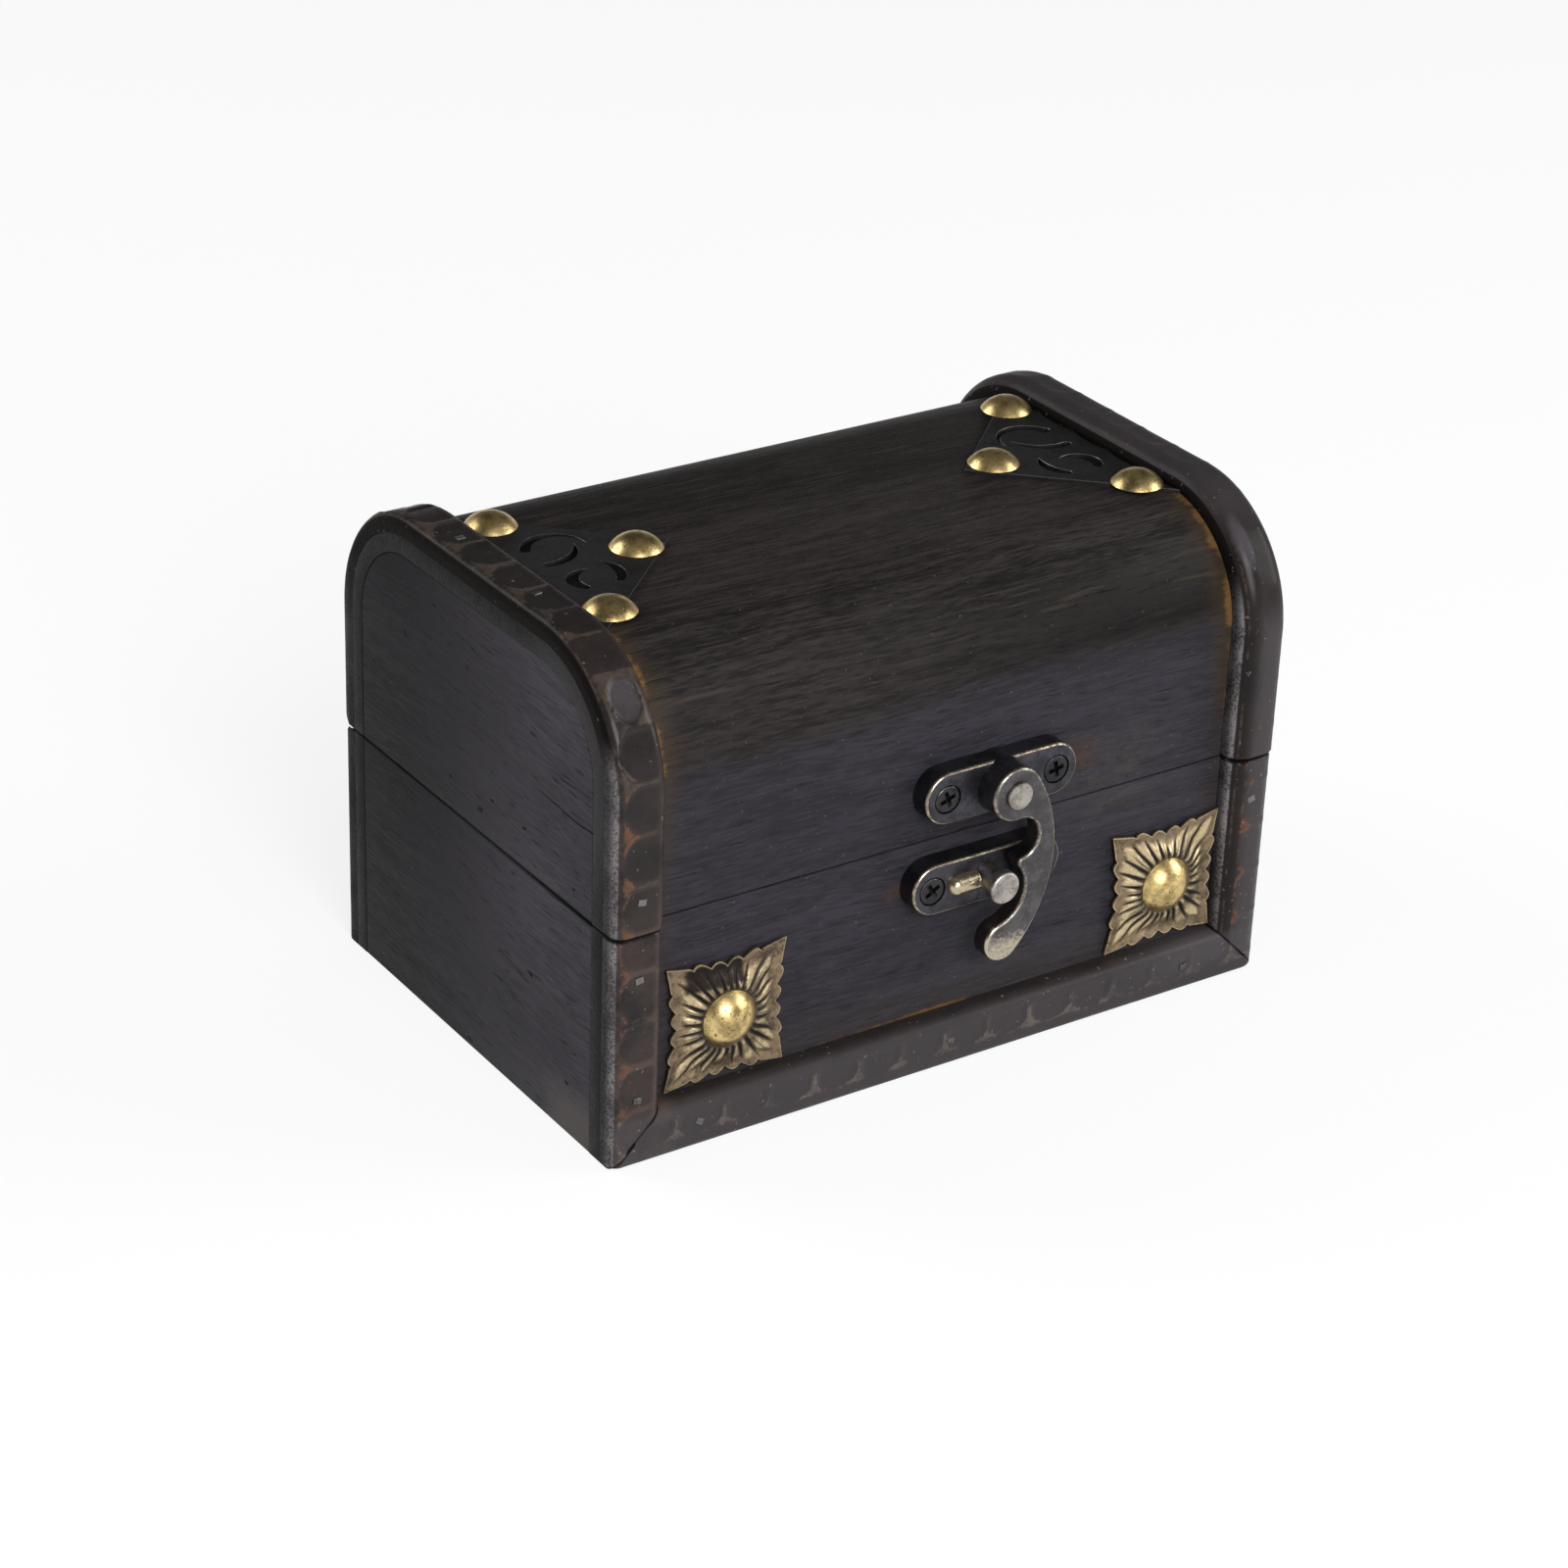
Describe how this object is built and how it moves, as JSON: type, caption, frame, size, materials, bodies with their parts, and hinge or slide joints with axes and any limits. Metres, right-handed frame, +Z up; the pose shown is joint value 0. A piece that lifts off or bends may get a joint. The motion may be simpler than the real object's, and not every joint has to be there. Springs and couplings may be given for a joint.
{
  "type": "treasure chest box",
  "caption": "Small wooden chest with a domed hinged lid, dented edge strips, brass corner ornaments, domed tacks and a swing-hook latch on the front.",
  "frame": {"origin": "middle of the wooden box's underside, on the surface that it stands on", "axes": "+X along the front to the viewer's right, +Y from front to back, +Z up"},
  "size_m": [0.12, 0.0863, 0.08],
  "materials": {
    "stained_board": "black-brown stained board, satin, grain along the length",
    "stained_end_board": "charcoal stained end board, dull",
    "edge_strip": "round-edged strip with pressed dents, dark stain rubbed through to red-brown",
    "brad_steel": "small flat brad heads",
    "tack_brass": "antique brass, polished domes with dark spots",
    "rosette_brass": "stamped antique brass, dark patina in the flutes",
    "blackened_sheet": "thin sheet stained dark with the lid",
    "latch_bronze": "antique bronze plating, worn bright on the edges",
    "blackened_screw": "darkened cross-head screws",
    "hinge_brass": "antique brass, dull"
  },
  "bodies": {
    "box": {"back_base_trim": "edge_strip", "back_left_corner_trim": "edge_strip", "back_panel": "stained_board", "back_right_corner_trim": "edge_strip", "bottom_panel": "stained_end_board", "box_trim_brads": "brad_steel", "catch_plate": "latch_bronze", "catch_screws": "blackened_screw", "catch_stud": "latch_bronze", "front_base_trim": "edge_strip", "front_left_corner_trim": "edge_strip", "front_panel": "stained_board", "front_right_corner_trim": "edge_strip", "hinge_box_screws": "hinge_brass", "left_end_panel": "stained_end_board", "left_hinge_box_leaf": "hinge_brass", "left_hinge_pin": "hinge_brass", "left_rosette": "rosette_brass", "left_rosette_tack": "tack_brass", "right_end_panel": "stained_end_board", "right_hinge_box_leaf": "hinge_brass", "right_hinge_pin": "hinge_brass", "right_rosette": "rosette_brass", "right_rosette_tack": "tack_brass"},
    "lid": {"hinge_lid_screws": "hinge_brass", "latch_plate": "latch_bronze", "latch_rivet": "latch_bronze", "latch_screws": "blackened_screw", "left_hinge_lid_leaf": "hinge_brass", "left_scroll_plate": "blackened_sheet", "left_scroll_plate_tacks": "tack_brass", "lid_left_end": "stained_end_board", "lid_left_trim": "edge_strip", "lid_right_end": "stained_end_board", "lid_right_trim": "edge_strip", "lid_skin": "stained_board", "lid_trim_brads": "brad_steel", "right_hinge_lid_leaf": "hinge_brass", "right_scroll_plate": "blackened_sheet", "right_scroll_plate_tacks": "tack_brass"},
    "hook": {"swing_hook": "latch_bronze"}
  },
  "joints": [
    {"name": "lid_hinge", "type": "hinge", "parent": "box", "child": "lid", "pos_m": [0, 0.0386, 0.03815], "axis": [-1, 0, 0], "range_deg": [0, 100]},
    {"name": "hook_swing", "type": "hinge", "parent": "lid", "child": "hook", "pos_m": [0.0068, -0.0431, 0.0463], "axis": [0, -1, 0], "range_deg": [0, 110]}
  ]
}
